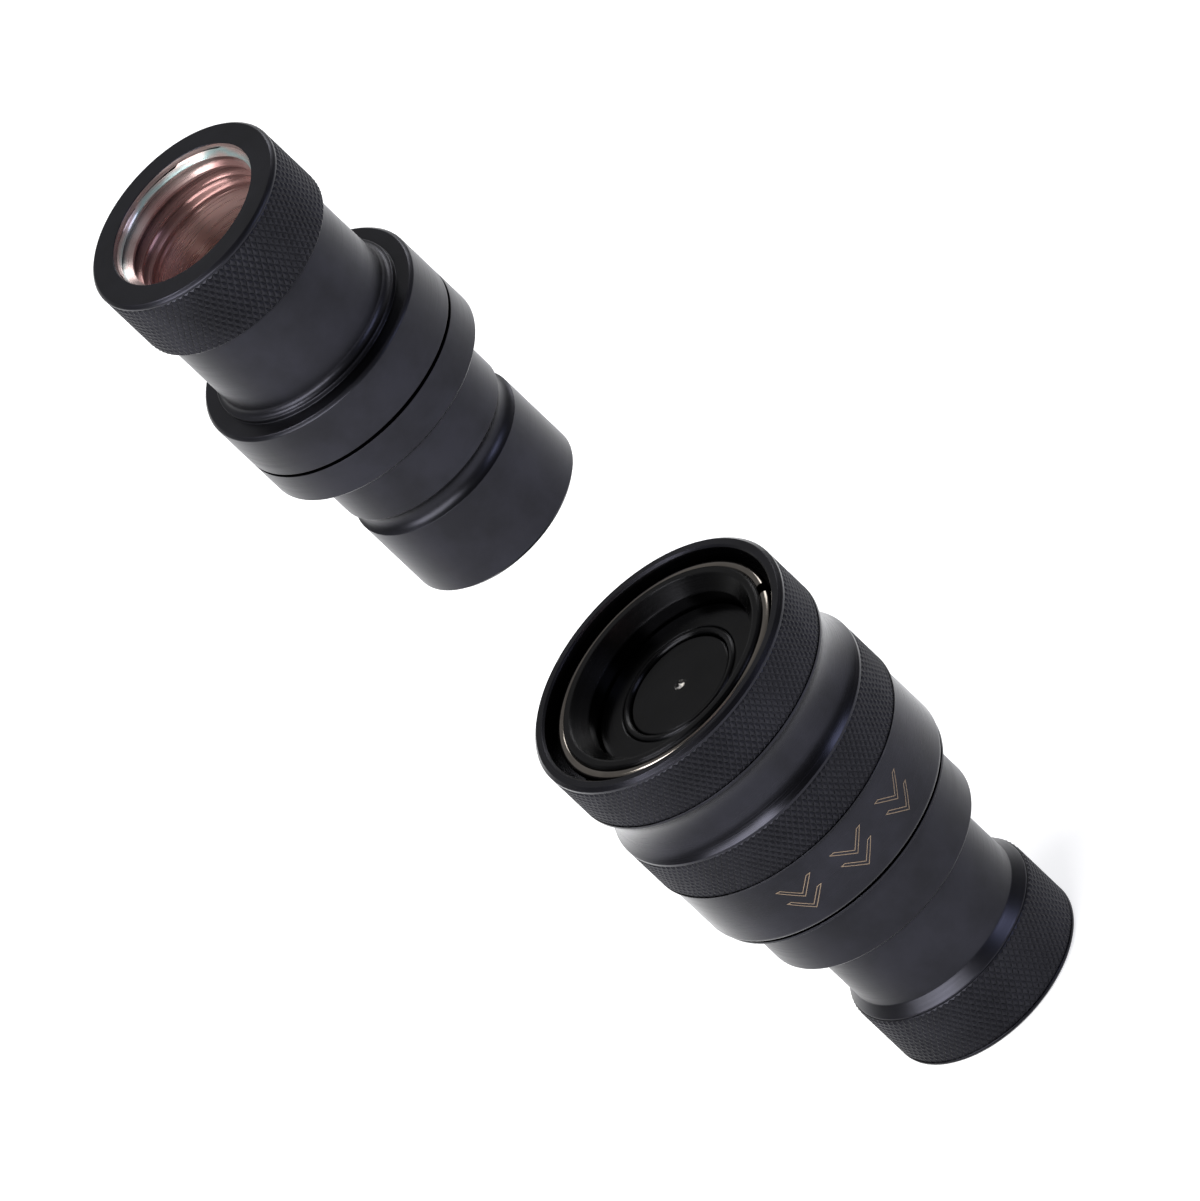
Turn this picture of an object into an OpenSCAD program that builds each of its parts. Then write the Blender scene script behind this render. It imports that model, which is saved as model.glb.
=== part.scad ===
// Flat-face quick coupling for a liquid cooling loop.
// Both halves share the vertical axis. The socket stands on its threaded end with its
// mouth up, and the plug hangs above it, nose down, ready to be pushed in.
// Millimetres. The origin is the centre of the socket's threaded end face.

/* [Interface] */
// Diameter of the plug's nose
nose_d = 24.5; // [22:0.1:27]
// Distance from the nose face to the middle of its ball groove
groove_offset = 13.6; // [12.5:0.1:14.5]
// Depth of the ball groove below the nose's surface
lock_depth = 0.9; // [0.6:0.05:1.0]
// Diameter of the stem and of the poppet that meets it
stem_d = 15; // [13.5:0.1:16]
// Free space between the nose face and the mouth while uncoupled
open_gap = 31.5; // [10:0.5:60]

/* [Fits] */
// Radial clearance of every sliding fit
slide_gap = 0.08; // [0.03:0.01:0.1]
// Radial clearance of pressed and screwed pieces
press_gap = 0.02; // [0.01:0.01:0.05]
// Space left between faces that close on each other
contact_gap = 0.05; // [0.02:0.01:0.1]

/* [Locking balls] */
// Diameter of a locking ball
ball_d = 3.8; // [3.5:0.1:4]
// Number of locking balls
ball_count = 10; // [6:1:12]
// Depth of the ball circle below the mouth
ball_depth = 9; // [8:0.1:10]

/* [Socket body] */
// Wall of the socket body around the nose
body_wall = 2.87; // [2.6:0.05:3.2]
// Depth of the body's rim below the sleeve's rim
body_inset = 0.8; // [0.3:0.1:1]
// Radial size of the funnel that leads the nose in
leadin = 1.67; // [1:0.05:1.9]
// Step from the body's outside down to its rear thread
thread_step = 0.6; // [0.4:0.05:0.8]
// Radial step that stops the valve sleeve
valve_stop = 0.62; // [0.4:0.05:0.8]
// Radial depth of the main seal's groove
seal_groove = 1.5; // [1.2:0.05:1.7]
// Wall between the main seal's groove and the valve sleeve's stop
valve_land = 1.3; // [1:0.05:1.6]
// Wall between the ball pockets and the main seal's groove
seal_land = 2.05; // [1.5:0.05:2.5]
// Thickness of the backup ring beside the main seal
backup_w = 1.2; // [0.8:0.1:1.6]

/* [Snap ring] */
// Wire diameter of the snap ring that keeps the sleeve on
snap_wire = 1.6; // [1.2:0.1:1.8]
// Depth of the snap ring in the body
snap_bite = 0.4; // [0.3:0.05:0.6]
// Depth of the snap ring's top below the mouth
snap_inset = 1.1; // [1:0.05:1.3]
// Width of the opening between the snap ring's ends
snap_split = 1.8; // [1:0.1:4]
// Direction of that opening round the axis
snap_angle = -14; // [-180:1:180]

/* [Release sleeve] */
// Wall of the sleeve's smooth rear band
band_wall = 1.55; // [1.3:0.05:2]
// Height of the grip bands above the smooth band
grip_rise = 0.45; // [0.35:0.05:0.8]
// Width of the rim round the mouth
rim_wall = 1.6; // [1.2:0.1:1.8]
// Length of the front grip band
grip_front_len = 8.1; // [7:0.1:10]
// Length of the finger groove
finger_len = 7.5; // [6:0.1:9]
// Depth of the finger groove
finger_depth = 1.1; // [0.6:0.05:1.3]
// Length of the rear grip band
grip_rear_len = 7.3; // [6:0.1:9]
// Length of the smooth rear band
band_len = 9.85; // [9:0.05:12]
// Length of the end ring's visible lip
end_lip = 0.7; // [0.6:0.05:0.9]
// Gap between the sleeve's end and that lip
end_gap = 0.25; // [0.15:0.05:0.3]
// Length of the lip that holds the balls in
lip_len = 2.2; // [1.6:0.1:3]
// Travel of the sleeve between its free and its locked place
lock_travel = 2.5; // [2:0.1:2.6]
// Travel of the sleeve when it is pushed back from its free place
sleeve_travel = 2; // [1:0.1:2.2]

/* [Grip pattern] */
// Depth to which the grip pattern is cut
knurl_depth = 0.25; // [0.1:0.05:0.35]
// Width of the plain land at each end of a grip band
knurl_land = 0.35; // [0.2:0.05:0.6]

/* [Sleeve spring] */
// Wire diameter of the sleeve spring
sleeve_wire = 1.2; // [1:0.05:1.3]
// Space between the body and the sleeve for that spring
spring_room = 1.8; // [1.7:0.05:2]
// Number of turns of the sleeve spring
sleeve_turns = 8; // [5:1:8]
// Length of the sleeve spring while uncoupled
sleeve_spring_len = 13.05; // [12.5:0.05:14]
// Thickness of the spring's seat washer
washer_t = 1; // [0.6:0.1:1.4]

/* [Socket valve] */
// Depth of the valve face below the mouth
face_depth = 4.2; // [3.5:0.1:4.8]
// Depth of the sleeve's own face below its bright seat ring
face_step = 0.25; // [0.1:0.05:0.5]
// Depth of the stem below the seat ring
stem_inset = 0.45; // [0.1:0.05:0.8]
// Width of the bright seat ring
seat_ring_w = 1.1; // [0.8:0.05:1.4]
// Thickness of the bright seat ring
seat_ring_t = 1; // [0.8:0.05:1.2]
// Thickness of the valve sleeve's front wall
valve_front_t = 4; // [3.6:0.1:4.6]
// Wall of the valve sleeve round its spring
valve_wall = 1.35; // [1:0.05:1.6]
// Length of the valve sleeve's rear stop collar
stop_len = 1.8; // [1.2:0.1:2.4]
// Length of the stem's head
stem_head_len = 4.8; // [4.4:0.1:5.6]
// Radius of the stem behind its head
stem_neck_r = 4.2; // [3.6:0.1:5]
// Radius of the stem's threaded tail
stem_tail_r = 3; // [2.4:0.1:3.3]
// Wire diameter of the valve spring
valve_wire = 1.4; // [1.1:0.05:1.5]
// Number of turns of the valve spring
valve_turns = 7; // [4:1:7]
// Thickness of the spider that carries the stem
spider_t = 2.6; // [2.2:0.1:3.2]
// Height of the stem's nut
nut_h = 2.8; // [2:0.1:3.5]
// Size of the stem's nut across its flats
nut_af = 9; // [8:0.1:11]

/* [Socket adapter] */
// Wall of the collar around the body's thread
collar_wall = 1.3; // [1.1:0.05:1.4]
// Thickness of the collar's floor behind the spider
collar_floor = 1.7; // [1.4:0.1:2.5]
// Length of the socket's neck
socket_neck_len = 11.9; // [10:0.1:15]
// Length of the cone between the neck and the end grip
end_cone_len = 1.9; // [1.4:0.1:2.5]
// Length of the socket's end grip
socket_end_len = 9.3; // [8:0.1:12]

/* [Port] */
// Minor radius of the half-inch pipe thread
port_r = 9.316; // [8.5:0.001:10]
// Length of the port's threaded wall
port_len = 13; // [11:0.1:13.5]
// Radius of the port's plain mouth
port_mouth_r = 10.5; // [10.2:0.05:11]
// Depth of the port's plain mouth
port_mouth_len = 0.8; // [0.4:0.1:1.2]
// Wall of the necks around the port
neck_wall = 3.25; // [3:0.05:3.8]
// Height of the end grips above the necks
end_rise = 1.33; // [1:0.01:1.8]
// Radius of the water way through the socket's adapter
flow_r = 9; // [8.6:0.1:9.2]

/* [Plug] */
// Length of the plug's end grip
plug_end_len = 10.1; // [9:0.1:12]
// Length of the plug's neck
plug_neck_len = 14.1; // [13:0.1:16]
// Radius of the fillet at the neck's foot
neck_fillet = 0.65; // [0.3:0.05:1]
// Thickness of the flange on the plug's adapter
flange_top_t = 7.2; // [6.6:0.1:8]
// Thickness of the flange on the plug's nose piece
flange_nose_t = 5.6; // [4:0.1:7]
// Height of the flange above the nose
flange_step = 3.65; // [3.4:0.05:4]
// Height of the groove between the two flanges
flange_line = 0.45; // [0.3:0.05:0.7]
// Length of the nose below the flange
nose_len = 23.9; // [23:0.1:26]
// Wall of the nose
nose_wall = 2.05; // [1.9:0.05:2.2]
// Chamfer of the nose's edge
nose_chamfer = 0.6; // [0.3:0.05:1]
// Length of the nose's closing bore
seat_len = 5; // [4.6:0.1:5.6]
// Wall of the nose piece's screwed end
screw_wall = 3.2; // [3:0.1:3.4]
// Floor of the adapter's flange above that end
screw_floor = 1.4; // [1.2:0.1:1.6]
// Width of the ledges that the poppet's spring and guide leave open
ledge_w = 1.8; // [1.6:0.1:2]

/* [Plug valve] */
// Length of the poppet's head
poppet_head_len = 4.9; // [4.5:0.1:5.4]
// Radius of the poppet's shoulder, which stops it in the nose
poppet_shoulder_r = 8.5; // [8.2:0.1:8.9]
// Radius of the poppet's shaft
poppet_shaft_r = 3.2; // [2.8:0.1:3.8]
// Radius of the shaft's tail in the guide
poppet_tail_r = 2.2; // [1.8:0.1:2.5]
// Length of the poppet from its face to its guide
poppet_reach = 11; // [10.5:0.1:12]
// Thickness of the poppet's guide
guide_t = 3; // [2.4:0.1:3.4]
// Wire diameter of the poppet spring
poppet_wire = 1.3; // [1.1:0.05:1.4]
// Number of turns of the poppet spring
poppet_turns = 7; // [4:1:7]
// Depth of the poppet spring's seat behind the port
spring_ledge = 4; // [3:0.1:4.2]

/* [Hidden] */
$fn = 96;
eps = 0.01;

// Finishes
black_coat = [0.17, 0.17, 0.19];
dark_inner = [0.10, 0.10, 0.11];
bright_steel = [0.78, 0.79, 0.80];
rose_steel = [0.72, 0.50, 0.46];
seal_rubber = [0.06, 0.06, 0.06];
ptfe_white = [0.90, 0.90, 0.86];

// Radii, worked out from the nose outwards
nose_r = nose_d / 2;
bore_r = nose_r + slide_gap;
body_r = bore_r + body_wall;
thread_r = body_r - thread_step;
valve_room_r = bore_r + valve_stop;
chamber_r = body_r + spring_room;
band_r = chamber_r + band_wall;
grip_r = band_r + grip_rise;
rim_r = grip_r - rim_wall;
collar_r = thread_r + collar_wall;
ball_r = ball_d / 2;
pocket_r = ball_r + contact_gap;
ball_centre_r = nose_r + contact_gap + ball_r;
relief_r = ball_centre_r + ball_r + 3 * contact_gap;
lip_r = body_r + slide_gap;
snap_centre_r = body_r - snap_bite + snap_wire / 2;
stem_r = stem_d / 2;
seat_r = stem_r + slide_gap;
valve_bore_r = nose_r - valve_wall;
neck_r = port_r + neck_wall;
end_r = neck_r + end_rise;
flange_r = nose_r + flange_step;
cavity_r = nose_r - nose_wall;
groove_floor_r = nose_r - lock_depth;

// Depths in the socket, measured down from the mouth
snap_depth = snap_inset + snap_wire / 2;
recess_depth = snap_depth + snap_wire / 2 + lock_travel + 2 * contact_gap;
lip_front = ball_centre_r + ball_depth + sqrt(2) * (ball_r + 2 * contact_gap) - lip_r;
lip_rear = lip_front + lip_len;
body_shoulder = lip_rear + sleeve_spring_len;
collar_front = body_shoulder + washer_t;
sleeve_len = grip_front_len + finger_len + grip_rear_len + band_len;
ring_front = collar_front + lock_travel + 6 * contact_gap;
seal_front = ball_depth + pocket_r + seal_land;
seal_cord_r = (seal_groove + slide_gap) / 2 - contact_gap / 2;
seal_rear = seal_front + backup_w + 2 * seal_cord_r + 6 * contact_gap;
valve_step = seal_rear + valve_land;
valve_collar = valve_step + 2 * contact_gap;
valve_tail = valve_collar + stop_len;
insertion = ball_depth + groove_offset;
valve_stroke = insertion - face_depth;
spider_depth = valve_tail + valve_stroke + 8 * contact_gap;
collar_ledge = spider_depth + spider_t;
collar_rear = collar_ledge + collar_floor;
socket_neck_end = collar_rear + socket_neck_len;
socket_end_front = socket_neck_end + end_cone_len;
socket_len = socket_end_front + socket_end_len;
stem_face = face_depth + stem_inset;
valve_shoulder = face_depth + valve_front_t;

// Depths in the plug, measured down from its threaded face
plug_neck_end = plug_end_len + plug_neck_len;
flange_join = plug_neck_end + flange_top_t;
flange_end = flange_join + flange_nose_t;
plug_len = flange_end + nose_len;
port_depth = port_mouth_len + port_mouth_r - port_r + port_len;
spring_seat = port_depth + spring_ledge;
screw_r = cavity_r + screw_wall;
screw_start = plug_neck_end + screw_floor;
seat_start = plug_len - seat_len;
seat_cone = cavity_r - seat_r;
guide_front = plug_len - poppet_reach;
guide_rear = guide_front - guide_t;
poppet_travel = valve_stroke - stem_inset;
plug_top = socket_len + open_gap + plug_len;

// Height of a point that lies a depth below the socket's mouth
function from_mouth(depth) = socket_len - depth;
// Height of a point that lies a depth below the plug's threaded face
function from_top(depth) = plug_top - depth;
// Points along an arc
function arc(centre, r, from, to, steps = 5) =
    [for (i = [0:steps]) let (a = from + (to - from) * i / steps)
        [centre[0] + r * cos(a), centre[1] + r * sin(a)]];

// A turned piece: radius and depth pairs, measured down from a height
module turned(top, points) {
    rotate_extrude() polygon([for (p = points) [p[0], top - p[1]]]);
}

// A plain ring between two radii and two depths
module ring(top, inner, outer, from, to) {
    turned(top, [[inner, from], [outer, from], [outer, to], [inner, to]]);
}

// A round-section ring, such as an O-ring
module round_ring(centre_r, height, cord_r) {
    translate([0, 0, height]) rotate_extrude() translate([centre_r, 0]) circle(r = cord_r);
}

// The shallow recess that the grip pattern is rolled into, between two plain lands
module knurl_recess(top, r, from, to) {
    ring(top, r - knurl_depth, r + 1, from + knurl_land, to - knurl_land);
}

// Stock round a middle hub and inside a rim, cut by four spokes
module spoked_windows(height, thickness, inner, outer, spoke_w) {
    difference() {
        translate([0, 0, height - eps]) cylinder(r = outer, h = thickness + 2 * eps);
        translate([0, 0, height - 1]) cylinder(r = inner, h = thickness + 2);
        for (a = [0, 90])
            rotate([0, 0, a])
                translate([-outer - 1, -spoke_w / 2, height - 1])
                    cube([2 * outer + 2, spoke_w, thickness + 2]);
    }
}

// Points of one ring of a spring's wire at a share of its length. The first and last
// turns are closed up until the wire touches itself.
function coil_rise(turn, turns, wire, length) =
    let (closed = 1, pitch = (length - wire * (1 + 2 * closed)) / (turns - 2 * closed))
    turn < closed ? turn * wire
    : turn > turns - closed ? length - wire - (turns - turn) * wire
    : closed * wire + (turn - closed) * pitch;

// A compression spring with closed ends, standing on a height
module coil_spring(base, length, centre_r, wire, turns) {
    sides = 8;
    steps = 16;
    rings = turns * steps;
    points = [for (i = [0:rings]) let (turn = i / steps, a = 360 * turn,
                   z = coil_rise(turn, turns, wire, length) + wire / 2)
              for (k = [0:sides - 1]) let (b = 360 * (k + 0.5) / sides, w = wire * 0.49)
                  [(centre_r + w * cos(b)) * cos(a), (centre_r + w * cos(b)) * sin(a),
                   z + w * sin(b)]];
    walls = [for (i = [0:rings - 1]) for (k = [0:sides - 1])
                 [i * sides + k, (i + 1) * sides + k,
                  (i + 1) * sides + (k + 1) % sides, i * sides + (k + 1) % sides]];
    ends = [[for (k = [0:sides - 1]) k],
            [for (k = [0:sides - 1]) rings * sides + sides - 1 - k]];
    translate([0, 0, base]) polyhedron(points, concat(walls, ends), convexity = 6);
}

// ---- Socket: what stands still ----

module socket_adapter() {
    edge = 0.4;
    bore = thread_r + press_gap;
    mouth_cone = port_mouth_r - port_r;
    color(black_coat) difference() {
        turned(socket_len, [
            [bore, collar_front], [collar_r - edge, collar_front],
            [collar_r, collar_front + edge], [collar_r, collar_rear - edge],
            [collar_r - edge, collar_rear], [neck_r + neck_fillet, collar_rear],
            [neck_r, collar_rear + neck_fillet], [neck_r, socket_neck_end],
            [end_r, socket_end_front], [end_r, socket_len - edge],
            [end_r - edge, socket_len],
            [port_mouth_r, socket_len], [port_mouth_r, socket_len - port_mouth_len],
            [port_r, socket_len - port_mouth_len - mouth_cone],
            [port_r, socket_len - port_depth], [flow_r, socket_len - port_depth],
            [flow_r, collar_ledge], [bore, collar_ledge]]);
        knurl_recess(socket_len, end_r, socket_end_front, socket_len - edge);
    }
}

module socket_body() {
    edge = 0.3;
    tail_step = 1.05;
    tail_len = 1.6;
    color(dark_inner) difference() {
        turned(socket_len, [
            [bore_r + leadin, body_inset], [body_r - edge, body_inset],
            [body_r, body_inset + edge], [body_r, body_shoulder],
            [thread_r, body_shoulder], [thread_r, spider_depth - tail_len],
            [thread_r - tail_step, spider_depth - tail_len],
            [thread_r - tail_step, spider_depth],
            [valve_room_r, spider_depth], [valve_room_r, valve_step],
            [bore_r, valve_step - valve_stop], [bore_r, body_inset + leadin]]);
        round_ring(snap_centre_r, from_mouth(snap_depth), snap_wire / 2 + press_gap);
        ring(socket_len, nose_r - 1, bore_r + seal_groove, seal_front, seal_rear);
        for (i = [0:ball_count - 1])
            rotate([0, 0, 360 * i / ball_count])
                translate([0, 0, from_mouth(ball_depth)])
                    rotate([0, 90, 0]) ball_pocket();
    }
}

// A drilled pocket, drawn in where it breaks into the bore so that the ball can't fall in
module ball_pocket() {
    throat = ball_r * 0.92;
    throat_len = 0.8;
    translate([0, 0, bore_r - 1]) cylinder(r = throat, h = 1 + eps);
    translate([0, 0, bore_r]) cylinder(r1 = throat, r2 = pocket_r, h = throat_len);
    translate([0, 0, bore_r + throat_len - eps]) cylinder(r = pocket_r, h = body_wall + 1);
}

module body_seal() {
    cord = 0.51;
    color(seal_rubber)
        round_ring(thread_r + press_gap - cord - eps, from_mouth(spider_depth - 0.8), cord);
}

module locking_balls() {
    color(bright_steel)
        for (i = [0:ball_count - 1])
            rotate([0, 0, 360 * i / ball_count])
                translate([ball_centre_r, 0, from_mouth(ball_depth)]) sphere(r = ball_r);
}

module snap_ring() {
    color(bright_steel) difference() {
        round_ring(snap_centre_r, from_mouth(snap_depth), snap_wire / 2);
        rotate([0, 0, snap_angle])
            translate([0, -snap_split / 2, from_mouth(snap_depth) - snap_wire])
                cube([snap_centre_r + snap_wire, snap_split, 2 * snap_wire]);
    }
}

module nose_seal() {
    color(seal_rubber)
        round_ring(nose_r + contact_gap + seal_cord_r,
                   from_mouth(seal_rear - seal_cord_r - 3 * contact_gap), seal_cord_r);
}

module backup_ring() {
    color(ptfe_white)
        ring(socket_len, nose_r + contact_gap, bore_r + seal_groove - press_gap,
             seal_front + contact_gap, seal_front + contact_gap + backup_w);
}

// ---- Socket: release sleeve ----

module release_sleeve() {
    edge = 0.45;
    groove_front = grip_front_len;
    groove_rear = grip_front_len + finger_len;
    band_front = groove_rear + grip_rear_len;
    finger_r = (finger_len * finger_len / 4 + finger_depth * finger_depth)
               / (2 * finger_depth);
    round_r = 0.7;
    rim_chamfer = 0.25;
    step_chamfer = 0.2;
    color(black_coat) difference() {
        turned(socket_len, concat([
            [rim_r + rim_chamfer, 0], [grip_r - edge, 0], [grip_r, edge],
            [grip_r, band_front - knurl_land / 2], [band_r, band_front + step_chamfer]],
            arc([band_r - round_r, sleeve_len - round_r], round_r, 0, 90),
            [[chamber_r, sleeve_len], [chamber_r, lip_rear], [lip_r, lip_rear],
            [lip_r, lip_front], [relief_r, lip_front - (relief_r - lip_r)],
            [relief_r, recess_depth], [rim_r, recess_depth], [rim_r, rim_chamfer]]));
        translate([0, 0, from_mouth((groove_front + groove_rear) / 2)])
            rotate_extrude() translate([grip_r - finger_depth + finger_r, 0])
                circle(r = finger_r);
        knurl_recess(socket_len, grip_r, edge, groove_front);
        knurl_recess(socket_len, grip_r, groove_rear, band_front);
    }
}

module sleeve_end_ring() {
    edge = 0.15;
    outer = chamber_r + 1.2;
    bore = collar_r + slide_gap;
    color(black_coat)
        turned(socket_len, [
            [bore, ring_front], [chamber_r - press_gap, ring_front],
            [chamber_r - press_gap, sleeve_len], [outer, sleeve_len + end_gap],
            [outer, sleeve_len + end_lip - edge], [outer - edge, sleeve_len + end_lip],
            [bore + edge, sleeve_len + end_lip], [bore, sleeve_len + end_lip - edge]]);
}

module sleeve_spring() {
    color(bright_steel)
        coil_spring(from_mouth(body_shoulder), sleeve_spring_len - contact_gap,
                    body_r + spring_room / 2, sleeve_wire, sleeve_turns);
}

module spring_washer() {
    color(bright_steel)
        ring(socket_len, thread_r + press_gap, chamber_r - 4 * contact_gap,
             body_shoulder + eps, collar_front - eps);
}

// ---- Socket: valve ----

module valve_sleeve() {
    edge = 0.3;
    pocket = seat_r + seat_ring_w;
    pocket_end = face_depth + seat_ring_t + seat_ring_w + contact_gap;
    face = face_depth + face_step;
    collar = valve_room_r - slide_gap;
    color(dark_inner)
        turned(socket_len, [
            [pocket, face], [nose_r - edge, face], [nose_r, face + edge],
            [nose_r, valve_collar - valve_stop], [collar, valve_collar],
            [collar, valve_tail], [valve_bore_r, valve_tail],
            [valve_bore_r, valve_shoulder], [seat_r, valve_shoulder],
            [seat_r, pocket_end], [pocket, pocket_end]]);
}

module seat_ring() {
    outer = seat_r + seat_ring_w - press_gap;
    crown_r = (outer - seat_r) / 2;
    color(bright_steel)
        turned(socket_len, concat(
            arc([seat_r + crown_r, face_depth + crown_r], crown_r, 180, 360, 10),
            [[outer, face_depth + seat_ring_t], [seat_r, face_depth + seat_ring_t]]));
}

module stem_seal() {
    outer = seat_r + seat_ring_w - press_gap;
    cord = (outer - stem_r - contact_gap) / 2;
    color(seal_rubber)
        round_ring(outer - cord, from_mouth(face_depth + seat_ring_t + cord), cord);
}

module valve_spring() {
    room = valve_bore_r - 4 * contact_gap;
    color(bright_steel)
        coil_spring(from_mouth(spider_depth), spider_depth - valve_shoulder - contact_gap,
                    room - valve_wire / 2, valve_wire, valve_turns);
}

module stem() {
    edge = 0.25;
    cone = 2;
    centre_mark = 0.7;
    head_end = stem_face + stem_head_len;
    tail_end = collar_ledge + nut_h + 0.5;
    color(dark_inner)
        turned(socket_len, [
            [0, stem_face + centre_mark], [centre_mark, stem_face],
            [stem_r - edge, stem_face], [stem_r, stem_face + edge], [stem_r, head_end],
            [stem_neck_r, head_end + cone], [stem_neck_r, spider_depth],
            [stem_tail_r, spider_depth], [stem_tail_r, tail_end - edge],
            [stem_tail_r - edge, tail_end], [0, tail_end]]);
}

module stem_spider() {
    spoke_w = 2.4;
    hub_wall = 2;
    rim = flow_r - 4 * contact_gap;
    color(dark_inner) difference() {
        ring(socket_len, stem_tail_r + press_gap, thread_r, spider_depth, collar_ledge);
        spoked_windows(from_mouth(collar_ledge), spider_t, stem_tail_r + hub_wall, rim,
                       spoke_w);
    }
}

module stem_nut() {
    bottom = from_mouth(collar_ledge + nut_h);
    color(bright_steel) difference() {
        translate([0, 0, bottom])
            cylinder(r = nut_af / 2 / cos(30), h = nut_h, $fn = 6);
        translate([0, 0, bottom - 1])
            cylinder(r = stem_tail_r + press_gap, h = nut_h + 2);
    }
}

// ---- Plug: what is screwed together ----

module plug_adapter() {
    edge = 0.4;
    mouth_cone = port_mouth_r - port_r;
    well_r = cavity_r + 0.3;
    ledge_r = cavity_r - ledge_w;
    lip_rise = 0.6;
    color(black_coat) difference() {
        turned(plug_top, concat([
            [port_mouth_r, 0], [end_r - edge, 0], [end_r, edge],
            [end_r, plug_end_len - edge], [end_r - edge, plug_end_len],
            [neck_r, plug_end_len], [neck_r, plug_neck_end - lip_rise - neck_fillet]],
            arc([neck_r + neck_fillet, plug_neck_end - lip_rise - neck_fillet],
                neck_fillet, 180, 90),
            [[neck_r + neck_fillet, plug_neck_end], [flange_r - edge, plug_neck_end],
            [flange_r, plug_neck_end + edge], [flange_r, flange_join],
            [screw_r + press_gap, flange_join], [screw_r + press_gap, screw_start],
            [well_r, screw_start], [well_r, spring_seat], [ledge_r, spring_seat],
            [ledge_r, port_depth], [port_r, port_depth],
            [port_r, port_mouth_len + mouth_cone], [port_mouth_r, port_mouth_len]]));
        knurl_recess(plug_top, end_r, edge, plug_end_len - edge);
    }
}

module plug_body() {
    edge = 0.4;
    line_depth = 0.9;
    screw_end = screw_start + 2 * contact_gap;
    seal_cut = 1.2;
    seal_from = 2;
    seal_to = 0.6;
    groove_depth = plug_len - groove_offset;
    color(black_coat) difference() {
        turned(plug_top, [
            [cavity_r, screw_end], [screw_r, screw_end], [screw_r, flange_join],
            [flange_r - line_depth, flange_join],
            [flange_r - line_depth, flange_join + flange_line],
            [flange_r, flange_join + flange_line], [flange_r, flange_end - edge],
            [flange_r - edge, flange_end], [nose_r, flange_end],
            [nose_r, plug_len - nose_chamfer], [nose_r - nose_chamfer, plug_len],
            [seat_r, plug_len], [seat_r, seat_start], [cavity_r, seat_start - seat_cone]]);
        round_ring(groove_floor_r + ball_r, from_top(groove_depth), ball_r);
        ring(plug_top, screw_r - seal_cut, screw_r + 1, flange_join - seal_from,
             flange_join - seal_to);
    }
}

module plug_seal() {
    cord = 0.6;
    depth = flange_join - 1.3;
    color(seal_rubber)
        round_ring(screw_r + press_gap - cord - eps, from_top(depth), cord);
}

// ---- Plug: valve ----

module poppet() {
    edge = 0.25;
    head_end = plug_len - poppet_head_len - 2 * contact_gap;
    shoulder = poppet_shoulder_r - stem_r;
    back_cone = 2.4;
    shoulder_start = head_end - shoulder;
    shoulder_len = 0.6;
    tail_len = 1.6;
    tail_end = guide_rear - tail_len;
    groove = 1.1;
    seal_at = plug_len - poppet_head_len / 2;
    color(rose_steel)
        turned(plug_top, [
            [0, plug_len], [stem_r - edge, plug_len], [stem_r, plug_len - edge],
            [stem_r, seal_at + groove / 2], [stem_r - groove, seal_at + groove / 2],
            [stem_r - groove, seal_at - groove / 2], [stem_r, seal_at - groove / 2],
            [stem_r, head_end], [poppet_shoulder_r, shoulder_start],
            [poppet_shoulder_r, shoulder_start - shoulder_len],
            [poppet_shaft_r, shoulder_start - shoulder_len - back_cone],
            [poppet_shaft_r, guide_front], [poppet_tail_r, guide_front],
            [poppet_tail_r, tail_end], [0, tail_end]]);
}

module poppet_seal() {
    cord = 0.53;
    color(seal_rubber)
        round_ring(seat_r - eps - cord, from_top(plug_len - poppet_head_len / 2), cord);
}

module poppet_guide() {
    spoke_w = 2.2;
    hub_wall = 1.8;
    rim = cavity_r - ledge_w;
    color(rose_steel) difference() {
        ring(plug_top, poppet_tail_r + press_gap, cavity_r - slide_gap, guide_rear,
             guide_front);
        spoked_windows(from_top(guide_front), guide_t, poppet_tail_r + hub_wall, rim,
                       spoke_w);
    }
}

module guide_clip() {
    clip_t = 0.8;
    clip_w = 1.4;
    split = 1.6;
    color(bright_steel) difference() {
        ring(plug_top, poppet_tail_r + press_gap, poppet_tail_r + clip_w,
             guide_rear - clip_t, guide_rear);
        translate([0, -split / 2, from_top(guide_rear) - 1])
            cube([poppet_tail_r + clip_w + 1, split, clip_t + 2]);
    }
}

module poppet_spring() {
    room = cavity_r - slide_gap - 4 * contact_gap;
    color(bright_steel)
        coil_spring(from_top(guide_rear) + eps, guide_rear - spring_seat - 2 * eps,
                    room - poppet_wire / 2, poppet_wire, poppet_turns);
}

socket_adapter();
socket_body();
body_seal();
locking_balls();
snap_ring();
nose_seal();
backup_ring();
release_sleeve();
sleeve_end_ring();
sleeve_spring();
spring_washer();
valve_sleeve();
seat_ring();
stem_seal();
valve_spring();
stem();
stem_spider();
stem_nut();
plug_adapter();
plug_body();
plug_seal();
poppet();
poppet_seal();
poppet_guide();
guide_clip();
poppet_spring();
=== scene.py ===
"""Looks of a flat-face quick coupling for a liquid cooling loop.

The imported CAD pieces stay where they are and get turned-metal, rubber and plastic
finishes. The rolled grips, the pipe threads, the coiled springs and the engraved marks
are modelled here.
"""
import logging
import math
from collections.abc import Callable
from dataclasses import dataclass, field
from enum import Enum

import bmesh
import bpy
from mathutils import Matrix, Vector


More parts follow.
